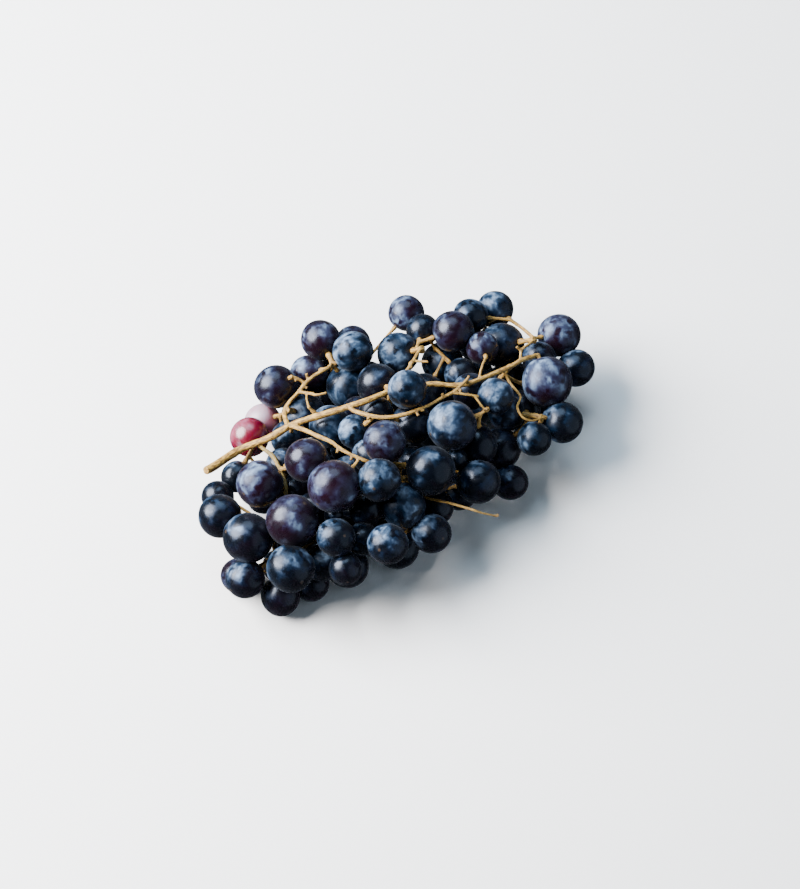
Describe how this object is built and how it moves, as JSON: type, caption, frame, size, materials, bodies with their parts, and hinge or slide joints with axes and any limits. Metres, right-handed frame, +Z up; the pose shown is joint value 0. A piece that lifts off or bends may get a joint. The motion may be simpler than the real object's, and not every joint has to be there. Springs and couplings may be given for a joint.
{
  "type": "bunch of grapes",
  "caption": "Picked bunch of dark blue-black grapes lying on its side: a tan woody stem with branches and pedicels, and 108 round berries in eight sprays, two of the berries still crimson.",
  "frame": {"origin": "centre of the bounding box at the table's height, under the middle of the bunch", "axes": "+X along the bunch from the cut stem to the tip, +Z up from the table"},
  "size_m": [0.1821, 0.1155, 0.0571],
  "materials": {
    "stem_wood": "satin",
    "dark_berry": "satin",
    "crimson_berry": "satin"
  },
  "bodies": {
    "root": {"stem": "stem_wood", "berries_upper_shoulder": "dark_berry", "berries_unripe": "crimson_berry", "berries_lower_shoulder": "dark_berry", "berries_left_wing": "dark_berry", "berries_near_side": "dark_berry", "berries_middle": "dark_berry", "berries_far_side": "dark_berry", "berries_tip": "dark_berry"}
  },
  "joints": []
}
